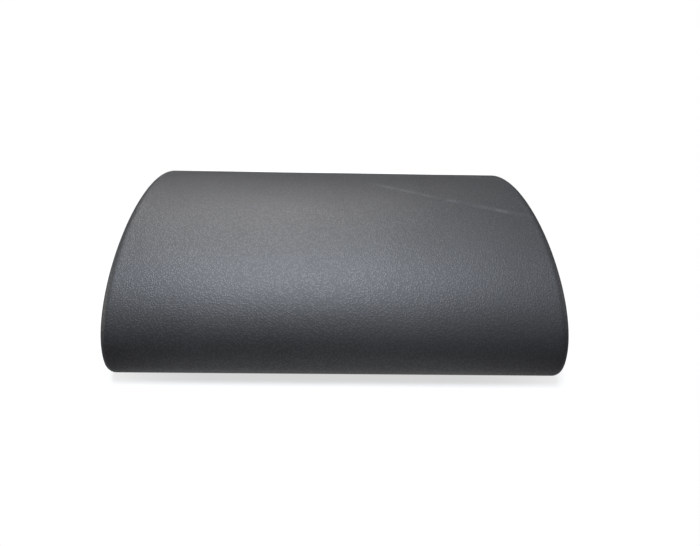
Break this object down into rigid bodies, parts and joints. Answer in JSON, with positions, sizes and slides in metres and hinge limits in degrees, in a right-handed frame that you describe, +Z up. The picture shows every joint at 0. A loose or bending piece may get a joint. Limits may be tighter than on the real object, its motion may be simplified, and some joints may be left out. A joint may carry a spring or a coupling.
{
  "type": "half-round foam roller",
  "caption": "Half-round foam roller with a domed, pebble-grained top, rounded ends and a flat base that rests on the floor.",
  "frame": {"origin": "centre of the flat base, on the surface that the roller rests on", "axes": "+X along the roller, end to end; +Y across it; +Z up through the crown of the dome"},
  "size_m": [0.305, 0.237, 0.076],
  "materials": {
    "grained_foam": "closed-cell EVA foam sheet, anthracite, fine moulded pebble grain, satin",
    "grip_foam": "closed-cell EVA foam sheet, darker, fine ribbed non-slip face, matt",
    "end_foam": "closed-cell EVA foam panel, cut and buffed, matt",
    "core_foam": "expanded polyethylene foam plank, off-white, fine cells"
  },
  "bodies": {
    "root": {"cover_sheet": "grained_foam", "base_sheet": "grip_foam", "left_end_panel": "end_foam", "right_end_panel": "end_foam", "core_lower_plank": "core_foam", "core_middle_plank": "core_foam", "core_upper_plank": "core_foam"}
  },
  "joints": []
}
